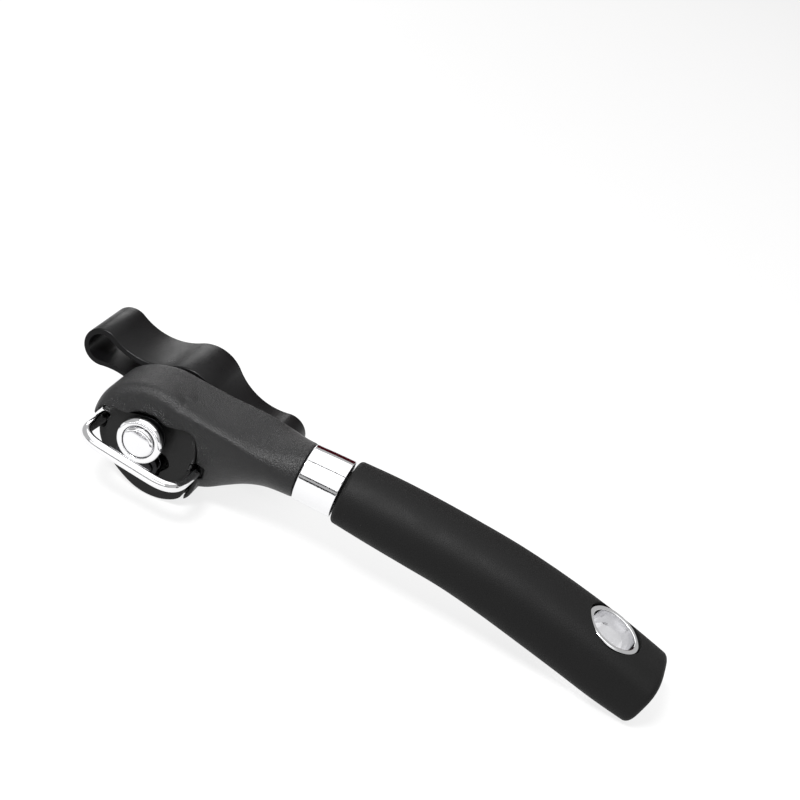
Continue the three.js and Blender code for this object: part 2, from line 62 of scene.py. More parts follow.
OPENER = Matrix.Translation(shaft_at) @ Matrix.Rotation(-PITCH, 4, "Y") @ Matrix.Scale(0.001, 4)
CRANK = OPENER @ Matrix.Rotation(CRANK_DROP, 4, "Y")

# ---- camera -------------------------------------------------------------
LENS = 64.08
VIEW_ANGLES = 8.5, 27.97, 20.04  # azimuth, elevation and roll, degrees
VIEW_FROM = 0.0546, -0.36092, 0.25227
cam = bpy.data.objects.new("camera", bpy.data.cameras.new("camera"))
bpy.context.collection.objects.link(cam)
cam.data.lens = LENS
cam.data.sensor_width = 36.0
azimuth, elevation, roll = (math.radians(angle) for angle in VIEW_ANGLES)
back = Vector((
    math.sin(azimuth) * math.cos(elevation),
    -math.cos(azimuth) * math.cos(elevation),
    math.sin(elevation),
))
right = Vector((math.cos(azimuth), math.sin(azimuth), 0))
up = back.cross(right)
right, up = (
    math.cos(roll) * right + math.sin(roll) * up,
    math.cos(roll) * up - math.sin(roll) * right,
)
cam.matrix_world = Matrix.Translation(VIEW_FROM) @ Matrix((
    (right.x, up.x, back.x), (right.y, up.y, back.y), (right.z, up.z, back.z),
)).to_4x4()
bpy.context.scene.camera = cam
bpy.context.scene.view_settings.view_transform = "Standard"


# ---- curves and sections ------------------------------------------------
def catmull(p0, p1, p2, p3, t):
    """A point between p1 and p2 on a centripetal Catmull-Rom curve."""
    pairs = (p0, p1), (p1, p2), (p2, p3)
    d0, d1, d2 = [max((b - a).length ** 0.5, 1e-4) for a, b in pairs]
    m1 = ((p1 - p0) / d0 - (p2 - p0) / (d0 + d1) + (p2 - p1) / d1) * d1
    m2 = ((p2 - p1) / d1 - (p3 - p1) / (d1 + d2) + (p3 - p2) / d2) * d1
    t2, t3 = t * t, t * t * t
    return (
        p1 * (2 * t3 - 3 * t2 + 1) + m1 * (t3 - 2 * t2 + t)
        + p2 * (3 * t2 - 2 * t3) + m2 * (t3 - t2)
    )


def loop(points, count):
    """A smooth closed outline of count points through (x, z) points."""
    knots = [Vector(p) for p in points]
    out = []
    for k in range(count):
        place = k / count * len(knots)
        i = int(place)
        out.append(catmull(*[knots[(i + j - 1) % len(knots)] for j in range(4)], place - i))
    return out


def soften(points, radius, closed=True, steps=4):
    """A polyline with its corners rounded."""
    points = [Vector(p) for p in points]
    out = []
    for i, b in enumerate(points):
        if not closed and i in (0, len(points) - 1):
            out.append(b)
            continue
        u, v = points[i - 1] - b, points[(i + 1) % len(points)] - b
        cut = min(radius, 0.45 * u.length, 0.45 * v.length)
        p, q = b + u.normalized() * cut, b + v.normalized() * cut
        for k in range(steps + 1):
            t = k / steps
            out.append(p * (1 - t) ** 2 + b * 2 * t * (1 - t) + q * t * t)
    return out


def offset(points, distance):
    """A closed outline moved inwards by distance."""
    area = sum(a.x * b.y - b.x * a.y for a, b in zip(points, points[1:] + points[:1]))
    side = 1 if area > 0 else -1
    out = []
    for i, p in enumerate(points):
        along_it = points[(i + 1) % len(points)] - points[i - 1]
        normal = Vector((-along_it.y, along_it.x)).normalized() * side
        out.append(p + normal * distance)
    return out


def along(rows, x):
    """Smooth values between [x, value...] rows."""
    k = 0
    while k < len(rows) - 2 and x > rows[k + 1][0]:
        k += 1
    a, b = rows[k], rows[k + 1]
    before, after = rows[max(k - 1, 0)], rows[min(k + 2, len(rows) - 1)]
    span = b[0] - a[0]
    t = (x - a[0]) / span
    t2, t3 = t * t, t * t * t
    out = []
    for i in range(1, len(a)):
        start = (b[i] - before[i]) / (b[0] - before[0]) * span
        end = (after[i] - a[i]) / (after[0] - a[0]) * span
        out.append(
            (2 * t3 - 3 * t2 + 1) * a[i] + (t3 - 2 * t2 + t) * start
            + (3 * t2 - 2 * t3) * b[i] + (t3 - t2) * end
        )
    return out


# ---- mesh building ------------------------------------------------------
def from_bmesh(bm, name="shape"):
    """A new object holding the bmesh, with its faces turned outwards."""
    bmesh.ops.recalc_face_normals(bm, faces=bm.faces)
    mesh = bpy.data.meshes.new(name)
    bm.to_mesh(mesh)
    bm.free()
    obj = bpy.data.objects.new(name, mesh)
    bpy.context.collection.objects.link(obj)
    return obj


def skin(rings, looped=False):
    """A closed body through rings of equal length, capped at both ends unless looped."""
    bm = bmesh.new()
    rows = [[bm.verts.new(p) for p in ring] for ring in rings]
    pairs = list(zip(rows, rows[1:])) + ([(rows[-1], rows[0])] if looped else [])
    for a, b in pairs:
        for i in range(len(a)):
            j = (i + 1) % len(a)
            bm.faces.new((a[i], a[j], b[j], b[i]))
    if not looped:
        bm.faces.new(rows[0][::-1])
        bm.faces.new(rows[-1])
    bmesh.ops.remove_doubles(bm, verts=bm.verts, dist=1e-4)
    bmesh.ops.triangulate(bm, faces=[f for f in bm.faces if len(f.verts) > 4])
    return from_bmesh(bm)


def turned(profile, x=0.0, z=0.0, sides=96, hollow=False, rounding=0.15):
    """A turned body about the Y direction from (radius, y) points."""
    profile = soften(profile, rounding, closed=hollow)
    rings = [
        [(x + r * math.cos(t), y, z + r * math.sin(t)) for t in
         (2 * math.pi * k / sides for k in range(sides))]
        for r, y in profile
    ]
    return skin(rings, looped=hollow)


def rod(radius, y0, y1, x=0.0, z=0.0, sides=96, rounding=0.15):
    """A round bar along Y."""
    return turned([(0, y0), (radius, y0), (radius, y1), (0, y1)], x, z, sides, False, rounding)


def ring(outer, inner, y0, y1, x=0.0, z=0.0, sides=96, rounding=0.12):
    """A round ring about the Y direction."""
    profile = [(inner, y0), (outer, y0), (outer, y1), (inner, y1)]
    return turned(profile, x, z, sides, True, rounding)


def slab(shape, y0, y1, front=0.0, rear=0.0, steps=8):
    """An (x, z) outline given thickness along Y, its edges rounded."""
    levels = []
    for k in range(steps + 1 if front else 1):
        a = math.pi / 2 * k / steps
        levels.append((y0 + front * (1 - math.cos(a)), front * (1 - math.sin(a))))
    for k in range(steps + 1 if rear else 1):
        a = math.pi / 2 * k / steps
        levels.append((y1 - rear * (1 - math.sin(a)), rear * (1 - math.cos(a))))
    return skin([[(p.x, y, p.y) for p in offset(shape, inset)] for y, inset in levels])


def block(x0, x1, y0, y1, z0, z1):
    """A plain box, used for cuts and keys."""
    shape = [Vector(p) for p in ((x0, z0), (x1, z0), (x1, z1), (x0, z1))]
    return skin([[(p.x, y, p.y) for p in shape] for y in (y0, y1)])


def lofted(rows, x0, x1, rings, sides, grow=0.0, start=0.0, end=0.0):
    """A handle-like body of rounded sections; start and end are the radii of its two rims."""
    places = [x0 + (x1 - x0) * k / rings for k in range(rings + 1)]
    in_rim = [1 - math.cos(math.pi / 2 * k / 8) for k in range(8)]
    places += [x0 + start * share for share in in_rim if start]
    places += [x1 - end * share for share in in_rim if end]
    made = []
    for x in sorted(set(round(p, 4) for p in places)):
        cz, width, height, square = along(rows, x)
        slope = math.atan(along(rows, x + 0.5)[0] - along(rows, x - 0.5)[0])
        inset = 0.0
        for radius, depth in ((start, x - x0), (end, x1 - x)):
            if radius and depth < radius:
                inset += radius - math.sqrt(max(radius ** 2 - (radius - depth) ** 2, 0))
        made.append([])
        for k in range(sides):
            t = 2 * math.pi * k / sides
            c, s = math.cos(t), math.sin(t)
            dy = math.copysign(abs(c) ** (2 / square), c) * (width + grow - inset)
            dn = math.copysign(abs(s) ** (2 / square), s) * (height + grow - inset)
            made[-1].append(
                (x - math.sin(slope) * dn, HANDLE_Y + dy, cz + math.cos(slope) * dn))
    return skin(made)


def neck_body(rows, x0, x1, rings, sides):
    """The neck: upright sections with their own reach up, down, forward and back."""
    made = []
    for k in range(rings + 1):
        x = x0 + (x1 - x0) * k / rings
        cz, above, below, front, rear, square_above, square_below, rise = along(rows, x)
        made.append([])
        for j in range(sides):
            t = 2 * math.pi * j / sides
            c, s = math.cos(t), math.sin(t)
            power = 2 / (square_above if s > 0 else square_below)
            dy = math.copysign(abs(c) ** power, c) * (front if c < 0 else rear)
            dz = math.copysign(abs(s) ** power, s) * (above if s > 0 else below)
            y = min(HANDLE_Y + dy, HEAD_BACK + 1)
            made[-1].append((x, y, cz + dz + rise * max(s, 0) * (y - HANDLE_Y)))
    return skin(made)


def tube(path, radius, sides=24):
    """A round bar along a path of points, with domed ends."""
    last = len(path) - 1
    tangents = [
        (path[min(i + 1, last)] - path[max(i - 1, 0)]).normalized() for i in range(last + 1)
    ]

    def dome(i, outwards, k):
        a = math.pi / 2 * k / 5
        reach = tangents[i] * radius * 0.35 * math.cos(a)
        return path[i] + outwards * reach, i, max(math.sin(a), 0.05)

    stations = [dome(0, -1, k) for k in range(5)]
    stations += [(p, i, 1) for i, p in enumerate(path)]
    stations += [dome(last, 1, k) for k in range(4, -1, -1)]
    rings = []
    normal = tangents[0].orthogonal().normalized()
    for p, i, share in stations:
        normal = (normal - tangents[i] * normal.dot(tangents[i])).normalized()
        other = tangents[i].cross(normal)
        rings.append([
            p + (normal * math.cos(a) + other * math.sin(a)) * radius * share
            for a in (2 * math.pi * k / sides for k in range(sides))
        ])
    return skin(rings)


def bake(obj):
    """Turns an object's modifiers into its mesh."""
    mesh = bpy.data.meshes.new_from_object(
        obj.evaluated_get(bpy.context.evaluated_depsgraph_get())
    )
    obj.modifiers.clear()
    obj.data = mesh


def combine(obj, tool, operation):
    """Joins, cuts or crosses obj with a tool body, which is used up."""
    mod = obj.modifiers.new("join", "BOOLEAN")
    mod.operation, mod.object, mod.solver = operation, tool, "EXACT"
    bpy.context.view_layer.update()
    bake(obj)
    bpy.data.objects.remove(tool)


def cut(obj, *tools):
    for tool in tools:
        combine(obj, tool, "DIFFERENCE")


def add(obj, *tools):
    for tool in tools:
        combine(obj, tool, "UNION")


def melt(obj, voxel, rounds):
    """Rebuilds a body as an even fine mesh with its edges eased."""
    mod = obj.modifiers.new("remesh", "REMESH")
    mod.mode, mod.voxel_size, mod.adaptivity = "VOXEL", voxel, 0
    ease = obj.modifiers.new("ease", "SMOOTH")
    ease.factor, ease.iterations = 0.5, rounds
    bpy.context.view_layer.update()
    bake(obj)


# ---- materials ----------------------------------------------------------
SMEAR = 6.0  # size in mm of the slow changes in gloss and colour


def material(name, color, rough, metallic=0.0, grain=0.35, bump=0.1, spread=0.06, tint=0.25,
             specular=0.5):
    """A surface with fine grain, slow roughness changes and slight colour variation.

    grain is a feature size in mm."""
    mat = bpy.data.materials.new(name)
    mat.use_nodes = True
    nodes, links = mat.node_tree.nodes, mat.node_tree.links
    shader = nodes["Principled BSDF"]
    shader.inputs["Metallic"].default_value = metallic
    shader.inputs["Specular IOR Level"].default_value = specular
    where = nodes.new("ShaderNodeTexCoord")

    def noise(size_mm, detail):
        tex = nodes.new("ShaderNodeTexNoise")
        tex.inputs["Scale"].default_value = 1000.0 / size_mm
        tex.inputs["Detail"].default_value = detail
        tex.inputs["Roughness"].default_value = 0.6
        links.new(where.outputs["Object"], tex.inputs["Vector"])
        return tex.outputs["Fac"]

    def spanned(fac, low, high):
        span = nodes.new("ShaderNodeMapRange")
        span.inputs["From Min"].default_value = 0.3
        span.inputs["From Max"].default_value = 0.7
        span.inputs["To Min"].default_value = low
        span.inputs["To Max"].default_value = high
        links.new(fac, span.inputs["Value"])
        return span.outputs["Result"]

    fine, slow = noise(grain, 3.0), noise(SMEAR, 4.0)
    ramp = nodes.new("ShaderNodeMix")
    ramp.data_type = "RGBA"
    ramp.inputs["A"].default_value = [c * (1 - tint) for c in color] + [1]
    ramp.inputs["B"].default_value = [min(c * (1 + tint), 1) for c in color] + [1]
    links.new(slow, ramp.inputs["Factor"])
    links.new(ramp.outputs["Result"], shader.inputs["Base Color"])
    total = nodes.new("ShaderNodeMath")
    total.operation = "ADD"
    links.new(spanned(slow, rough - spread, rough + spread), total.inputs[0])
    links.new(spanned(fine, -spread / 2, spread / 2), total.inputs[1])
    links.new(total.outputs[0], shader.inputs["Roughness"])
    if bump:
        relief = nodes.new("ShaderNodeBump")
        relief.inputs["Strength"].default_value = bump
        relief.inputs["Distance"].default_value = grain * 0.0008
        links.new(fine, relief.inputs["Height"])
        links.new(relief.outputs["Normal"], shader.inputs["Normal"])
    return mat


LOOKS = {
    "body_plastic": material(
        "grained_plastic", (0.006, 0.006, 0.0063), 0.38, grain=0.42, bump=0.8, specular=0.3),
    "block_plastic": material(
        "satin_plastic", (0.004, 0.004, 0.004), 0.42, grain=0.4, bump=0.2, specular=0.22),
    "crank_plastic": material(
        "crank_plastic", (0.003, 0.003, 0.0032), 0.34, grain=0.5, bump=0.1, specular=0.12),
    "grip_rubber": material(
        "soft_rubber", (0.004, 0.004, 0.004), 0.6, grain=0.3, bump=0.4, specular=0.14),
    "chrome_plate": material(
        "chrome", (0.86, 0.86, 0.87), 0.07, 1.0, grain=0.6, bump=0.02, spread=0.02, tint=0.02),
    "plain_steel": material("steel", (0.55, 0.56, 0.57), 0.30, 1.0, grain=0.3, bump=0.1),
    "dark_steel": material("dark_steel", (0.03, 0.03, 0.032), 0.35, 1.0, grain=0.3, bump=0.1),
    "bush_brass": material("brass", (0.62, 0.45, 0.20), 0.32, 1.0, grain=0.3, bump=0.1),
}
slots = {part["node"]: part["material_slot"] for part in frame["record"]["subparts"]}
bodies = {
    node: body for body, nodes in frame["record"]["behaviour"]["bodies"].items() for node in nodes
}
for node, obj in frame["nodes"].items():
    obj.data.materials.clear()
    obj.data.materials.append(LOOKS[slots[node]])


def finish_piece(name, obj, node, place=OPENER, angle=40):
    """Puts a piece made in millimetres in its place, standing for a CAD node."""
    obj.name = obj.data.name = name
    obj.data.transform(place)
    bm = bmesh.new()
    bm.from_mesh(obj.data)
    bmesh.ops.recalc_face_normals(bm, faces=bm.faces)
    bm.to_mesh(obj.data)
    bm.free()
    obj.data.materials.clear()
    obj.data.materials.append(LOOKS[slots[node]])
    obj.data.shade_smooth()
    obj.data.set_sharp_from_angle(angle=math.radians(angle))
    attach(obj, bodies[node])
    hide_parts(node)


# ---- design values, millimetres -----------------------------------------
GAP = 0.3
HANDLE_Y = 12.4
FLANGE_R, FLANGE_T = 7.4, 2.2
FEED_R, FEED_T, FEED_TEETH = 6.2, 2.6, 26
SHAFT_R, SHAFT_END = 3.1, 44.6
BLOCK_FRONT, BLOCK_BACK = 6.0, 13.0
HEAD_FRONT, HEAD_BACK, COVER_BACK = 3.6, 21.6, 24.4
CRANK_NEAR, CRANK_FAR, CRANK_HALF = 30.6, 51.8, 37.3
LOBE_R, HUB_R, WAIST_R, BAND_T = 6.4, 12.2, 20.6, 1.8
CUTTER_X, CUTTER_Z, CUTTER_R = 2.6, -9.7, 3.2
PIVOT_X, PIVOT_Z = -6.0, -8.5
WIRE_R, BAIL_HALF, BAIL_REACH = 1.75, 16.3, 18.62
BAIL_DROP, BAIL_LIFT = math.radians(12.1), math.radians(6.6)
BAIL_PIVOT = Vector((0.8, 9.0, -4.0))
STUB, BEND, END_BEND = 11.6, 7.9, 2.2
FERRULE_R, FERRULE_X0, FERRULE_X1, TAIL_X = 9.2, 48.7, 61.3, 164.71
EYELET_X, EYELET_TILT = 146.3, math.radians(20)
EYELET_LONG, EYELET_WIDE, SEAT, LIP_END = 7.4, 7.0, 8.0, 9.3

# Outlines hold (x, z) points. Rows hold x, centre z, half width, half height and squareness.
BLOCK_OUTLINE = [
    (-14.8, 4.5), (-5, 5.4), (6.9, 6.0), (14.2, 6.0), (16.2, 0), (15.9, -7), (15.2, -12.6),
    (13.8, -17.4), (8.2, -20.1), (0.9, -19.9), (-5.6, -16.8), (-12.8, -10.2), (-15.4, -4.7),
]
HEAD_OUTLINE = [
    (-18, -1.3), (-17.2, 5.2), (-13.9, 11.1), (-8.2, 14.8), (-1, 16.5), (5.8, 15.9),
    (11.8, 14.4), (15.6, 11.8), (17.2, 4), (17.6, -6), (17.2, -13), (14.6, -19), (7.4, -20.9),
    (-1.7, -18.9), (-7.4, -14.8), (-12.4, -9.5), (-15.9, -5.4),
]
HOOD_OUTLINE = [
    (-18, -1.3), (-17.2, 5.2), (-13.9, 11.1), (-8.2, 14.8), (-1, 16.5), (5.8, 15.9),
    (10.6, 13.4), (12.6, 8), (12.8, 0), (11, -8), (5, -14), (-5, -15.4), (-14, -10.6),
]
# x, centre z, reach up, down, forward and back, squareness above and below, rise to the rear
NECK_ROWS = [
    (-2, 12, 3.9, 24, 8.3, 30, 2.6, 1.4, 0),
    (8, 11, 4.2, 27, 8.75, 30, 3, 1.3, 0.05),
    (18.5, 9.6, 3.7, 24.2, 8.8, 30, 3.3, 1.28, 0.1),
    (26, 8.4, 3.9, 18.8, 8.7, 24, 3.1, 1.65, 0.14),
    (32, 7, 4.5, 14, 8.6, 19, 2.9, 1.9, 0.18),
    (38, 5.5, 5.7, 10.5, 8.6, 14, 2.6, 1.9, 0.14),
    (43.5, 4.5, 7.4, 8.9, 8.8, 11.5, 2.2, 1.95, 0.07),
    (50.5, 4.2, 8.8, 8.8, 8.8, 8.8, 2, 2, 0),
]
GRIP_ROWS = [
    (61.1, 3.0, 10.1, 9.8, 2.1), (74.7, 1.1, 10.8, 10.3, 2.25), (87.4, -0.9, 11.2, 10.4, 2.35),
    (100.3, -3.2, 11.5, 10.3, 2.45), (113.6, -6.3, 11.7, 10.7, 2.55),
    (126.4, -10.0, 11.9, 10.9, 2.65), (140.7, -14.6, 12.2, 10.7, 2.8),
    (153.1, -19.0, 12.3, 10.2, 3.0), (167.4, -23.9, 12.0, 9.2, 3.1),
]
SPIGOT_ROWS = [
    (34, 3.8, 5.6, 5.6, 2), (45, 4.0, 5.6, 5.6, 2), (56, 3.6, 5.6, 5.6, 2), (69, 1.9, 5.6, 5.6, 2),
]
FERRULE_ROWS = [
    (x, z, FERRULE_R + more, FERRULE_R + more, 2)
    for x, z, more in (
        (42, 5.0, -0.3), (48.7, 4.2, -0.2), (55, 3.6, 0), (61, 3.0, 0.1), (68, 2, 0.2),
    )
]
SCREWS = [(-13.2, 2), (10.9, 9.3), (5, -15.9)]


# ---- wire bail ----------------------------------------------------------
bail_u = Vector((math.cos(BAIL_DROP), 0, -math.sin(BAIL_DROP)))
bail_n = Vector((math.sin(BAIL_DROP), 0, math.cos(BAIL_DROP)))
bail_w = Vector((0, -math.cos(BAIL_LIFT), 0)) + bail_n * math.sin(BAIL_LIFT)


def bail_point(across, forward):
    """A point in the plane of the bail."""
    return BAIL_PIVOT + bail_u * across + bail_w * forward


def leg_slot(side):
    """The body that clears the path of one leg of the bail."""
    half = WIRE_R + GAP
    made = block(-half, half, -8.1, 8.1, -2.6, 2.6)
    axes = Matrix((bail_u, bail_w, bail_u.cross(bail_w))).transposed().to_4x4()
    made.data.transform(Matrix.Translation(bail_point(side * BAIL_HALF, 5.9)) @ axes)
    return made


corners = [
    bail_point(-STUB, 0), bail_point(-BAIL_HALF, 0), bail_point(-BAIL_HALF, BAIL_REACH),
    bail_point(BAIL_HALF, BAIL_REACH), bail_point(BAIL_HALF, 0), bail_point(STUB, 0),
]
path = [corners[0]]
for i, radius in enumerate((END_BEND, BEND, BEND, END_BEND), 1):
    enter = corners[i] + (corners[i - 1] - corners[i]).normalized() * radius
    leave = corners[i] + (corners[i + 1] - corners[i]).normalized() * radius
    path.append(path[-1].lerp(enter, 0.5))
    for k in range(13):
        t = k / 12
        path.append(enter * (1 - t) ** 2 + corners[i] * 2 * t * (1 - t) + leave * t * t)
path.append(corners[-1])
finish_piece("bail_wire", tube(path, WIRE_R, 32), "wire_bail", angle=60)

# ---- head ---------------------------------------------------------------
block_outline = loop(BLOCK_OUTLINE, 200)
head_outline = loop(HEAD_OUTLINE, 260)
head = slab(loop(HOOD_OUTLINE, 220), HEAD_FRONT, 16, 3.6, 0.5)
add(head, slab(head_outline, 9, HEAD_BACK, 0.5, 0.8))
cut(
    head,
    block(-40, 14, -5, BLOCK_BACK + GAP, -40, -2.9),
    block(-40, -11, -5, BLOCK_BACK + GAP - 0.2, -5, 0.8),
)
add(head, neck_body(NECK_ROWS, -2, 50.5, 70, 160))
cut(
    head,
    block(-10, 70, HEAD_BACK, 70, -60, 60),
    lofted(FERRULE_ROWS, FERRULE_X0 - GAP, FERRULE_X0 + 6, 4, 96, 2),
    slab(offset(block_outline, -GAP), -5, BLOCK_BACK + GAP),
    rod(8.3, -5, BLOCK_FRONT + 0.2),
    rod(SHAFT_R + 0.6, 0, 30),
    rod(9.4, 15.6, HEAD_BACK + 1),
    lofted(SPIGOT_ROWS, 38, FERRULE_X0 + 4, 6, 64, GAP),
    leg_slot(-1),
    leg_slot(1),
    *[rod(1.5, 14.5, HEAD_BACK + 1, x, z, 32) for x, z in SCREWS],
)
melt(head, 0.32, 14)
finish_piece("head_shell", head, "head_housing", angle=180)

front_block = slab(block_outline, BLOCK_FRONT, BLOCK_BACK, 0.5, 0.4)
jaw_slot = loop([
    (-0.6, -8.6), (1.6, -7), (6.6, -4.7), (8.7, -7.9), (6.4, -10.8), (5.6, -13.6), (2.8, -14.8),
    (-0.2, -13.4),
], 96)
jaw_pocket = loop([
    (-9.5, -8.1), (-6.3, -5.0), (-1.5, -6.7), (3, -6.6), (7.4, -7.2), (7.6, -11.6), (5.8, -15),
    (1.5, -16.4), (-3, -14.5), (-8, -11.8),
], 96)
cut(
    front_block,
    rod(5.8, 0, 20),
    rod(6.5, 0, BLOCK_FRONT + 0.05),
    slab(jaw_slot, 4, BLOCK_BACK),
    slab(jaw_pocket, 7.4, BLOCK_BACK + 2),
    rod(2.0, 0, 20, PIVOT_X, PIVOT_Z),
    leg_slot(-1),
    leg_slot(1),
)
melt(front_block, 0.2, 4)
finish_piece("front_block", front_block, "carrier_block", angle=180)

cover = slab(offset(head_outline, 1.4), HEAD_BACK + GAP, COVER_BACK, 0.3, 0.9)
combine(cover, rod(30, 10, 40, -1, 0, 192), "INTERSECT")
add(cover, rod(7.7, COVER_BACK - 0.6, 28.2, rounding=0.6))
cut(cover, rod(5.3, 15, 40))
for x, z in SCREWS:
    cut(cover, rod(1.9, 15, 30, x, z, 32), rod(3.1, 23.2, 30, x, z, 48))
melt(cover, 0.22, 4)
finish_piece("rear_cover", cover, "back_cover", angle=180)

for number, (x, z) in enumerate(SCREWS, 1):
    made = turned([
        (0, 16), (1.3, 16), (1.3, 23.6), (2.8, 23.6), (2.8, 24.3), (2.2, 24.85), (0, 24.9),
    ], x, z, 48, rounding=0.25)
    cut(
        made,
        block(x - 1.9, x + 1.9, 24.2, 26, z - 0.35, z + 0.35),
        block(x - 0.35, x + 0.35, 24.2, 26, z - 1.9, z + 1.9),
    )
    finish_piece(f"cover_screw_{number}", made, f"housing_screw_{number}")

# ---- drive wheel and shaft ----------------------------------------------
flange = turned([
    (2.3, 0.9), (5.2, 0.9), (5.4, 0.1), (6.6, 0.0), (7.1, 0.4), (FLANGE_R, 1.1),
    (FLANGE_R, FLANGE_T), (2.3, FLANGE_T),
], hollow=True, sides=128, rounding=0.22)
finish_piece("wheel_flange", flange, "flange_disc", angle=50)
rivet = turned([
    (0, -0.5), (4.2, -0.5), (4.85, -0.05), (4.9, 0.6), (0, 0.6),
], sides=128, rounding=0.4)
finish_piece("wheel_button", rivet, "front_rivet", angle=50)


def toothed(radius, depth, teeth, y0, y1):
    """A toothed disc about the shaft."""
    points = []
    for k in range(teeth):
        for share, height in ((0, 0), (0.32, 0), (0.5, 1), (0.68, 1), (0.86, 0.1)):
            a = 2 * math.pi * (k + share) / teeth
            r = radius - depth * (1 - height)
            points.append(Vector((r * math.cos(a), r * math.sin(a))))
    return slab(points, y0, y1, 0.25, 0.25, 3)


feed = toothed(FEED_R, 0.7, FEED_TEETH, FLANGE_T + GAP, FLANGE_T + GAP + FEED_T)
cut(feed, rod(SHAFT_R + 0.25, 0, 9))
finish_piece("wheel_teeth", feed, "feed_wheel", angle=30)

shaft = rod(SHAFT_R, FLANGE_T + GAP, SHAFT_END, rounding=0.5)
add(shaft, rod(2.0, 0.9, FLANGE_T + 1))
cut(
    shaft,
    ring(SHAFT_R + 1, 2.6, 17.4, 18.5, rounding=0.05),
    rod(1.8, 34.5, SHAFT_END + 1),
    block(-9, 9, 31.2, SHAFT_END + 1, 2.6, 9),
    block(-9, 9, 31.2, SHAFT_END + 1, -9, -2.6),
)
finish_piece("shaft_bar", shaft, "drive_shaft", CRANK)
bush = turned([
    (3.45, 5.4), (6.2, 5.4), (6.2, 5.75), (5.5, 5.85), (5.5, 12.4), (3.45, 12.4),
], hollow=True)
finish_piece("bush_front", bush, "front_bush")
finish_piece("bush_rear", ring(5.0, SHAFT_R + 0.25, 19.4, 28.6, rounding=0.3), "rear_bush")
finish_piece("washer_thrust", ring(6.0, SHAFT_R + 0.3, 28.9, 29.7), "thrust_washer")

# ---- crank --------------------------------------------------------------
def butterfly(inset):
    """Outline of the two-lobed band: hub arc, concave waists and round lobes."""
    lobe = CRANK_HALF - LOBE_R
    to_hub, to_lobe = HUB_R + WAIST_R, LOBE_R + WAIST_R
    cx = (to_hub ** 2 - to_lobe ** 2 + lobe ** 2) / (2 * lobe)
    cz = math.sqrt(to_hub ** 2 - cx ** 2)
    at_hub, at_lobe = math.atan2(cz, cx), math.atan2(cz, cx - lobe)
    arcs = [
        (0, 0, HUB_R - inset, math.pi / 2, at_hub),
        (cx, cz, WAIST_R + inset, at_hub + math.pi, at_lobe + math.pi),
        (lobe, 0, LOBE_R - inset, at_lobe, 0),
    ]
    quarter = []
    for x, z, radius, a, b in arcs:
        count = max(int(abs(b - a) / math.radians(3) * radius / 6), 6)
        for k in range(count):
            t = a + (b - a) * k / count
            quarter.append(Vector((x + radius * math.cos(t), z + radius * math.sin(t))))
    tip = [Vector((CRANK_HALF - inset, 0))]
    lower = [Vector((p.x, -p.y)) for p in reversed(quarter)]
    right_side = quarter + tip + lower
    left_side = [Vector((-p.x, -p.y)) for p in right_side[1:-1]]
    return right_side + left_side


band = slab(butterfly(0), CRANK_NEAR, CRANK_FAR, 0.55, 0.55, 5)
cut(band, slab(butterfly(BAND_T), CRANK_NEAR - 2, CRANK_FAR + 2))
add(
    band,
    rod(HUB_R - 0.6, CRANK_NEAR + 0.4, CRANK_FAR - 0.6),
    rod(6.2, 30.0, CRANK_NEAR + 1),
)
cut(
    band,
    rod(SHAFT_R + GAP, 20, SHAFT_END + GAP),
    rod(5.9, 46.4, CRANK_FAR + 1),
    rod(1.9, 40, 50),
)
add(
    band,
    block(-2.2, 2.2, 31.6, SHAFT_END, 2.9, 4.0),
    block(-2.2, 2.2, 31.6, SHAFT_END, -4, -2.9),
)
finish_piece("crank_band", band, "crank_loop", CRANK, angle=35)
button = rod(5.6, 47.9, 51.0, rounding=0.8)
cut(button, rod(4.8, 46, 50.0))
finish_piece("crank_button", button, "crank_cap", CRANK)

# ---- cutter -------------------------------------------------------------
jaw_shape = loop([
    (-8.5, -8.5), (-6, -6.1), (-2.5, -7.5), (0.8, -7.7), (4.2, -7.4), (5.6, -9.7), (4.3, -12.4),
    (1.4, -12.6), (-2.6, -10.8), (-6.2, -10.9),
], 120)
jaw = slab(jaw_shape, 7.8, 10.6, 0.3, 0.3, 3)
cut(jaw, rod(1.95, 0, 20, PIVOT_X, PIVOT_Z), rod(1.6, 0, 20, CUTTER_X, CUTTER_Z))
finish_piece("jaw_arm", jaw, "cutter_jaw")
pivot = turned([
    (0, 5.0), (2.0, 5.0), (2.8, 5.4), (2.8, 5.7), (1.65, 5.7), (1.65, 12.6), (0, 12.6),
], PIVOT_X, PIVOT_Z, 64)
finish_piece("jaw_rivet", pivot, "jaw_pin")
axle = turned([
    (0, 2.7), (1.7, 2.7), (2.1, 3.0), (2.1, 3.3), (1.3, 3.3), (1.3, 11.2), (0, 11.2),
], CUTTER_X, CUTTER_Z, 64, rounding=0.12)
finish_piece("cutter_rivet", axle, "cutter_pin")
blade = turned([
    (1.6, 3.7), (2.4, 3.7), (CUTTER_R, 4.45), (CUTTER_R, 4.6), (2.4, 5.3), (1.6, 5.3),
], CUTTER_X, CUTTER_Z, 96, True, 0.05)
finish_piece("cutter_disc", blade, "cutter_wheel", angle=25)
finish_piece("cutter_spacer", ring(2.5, 1.6, 5.7, 7.4, CUTTER_X, CUTTER_Z, 64), "cutter_washer")

# ---- handle -------------------------------------------------------------
ferrule = lofted(FERRULE_ROWS, FERRULE_X0, FERRULE_X1, 24, 160, 0, 0.35, 0.35)
cut(ferrule, lofted(SPIGOT_ROWS, FERRULE_X0 - 3, FERRULE_X1 + 3, 8, 96, GAP))
finish_piece("ferrule_band", ferrule, "ferrule", angle=50)

eyelet_at = Vector((EYELET_X, HANDLE_Y, along(GRIP_ROWS, EYELET_X)[0]))
EYELET = Matrix.Translation(eyelet_at) @ Matrix.Rotation(EYELET_TILT, 4, "Y")


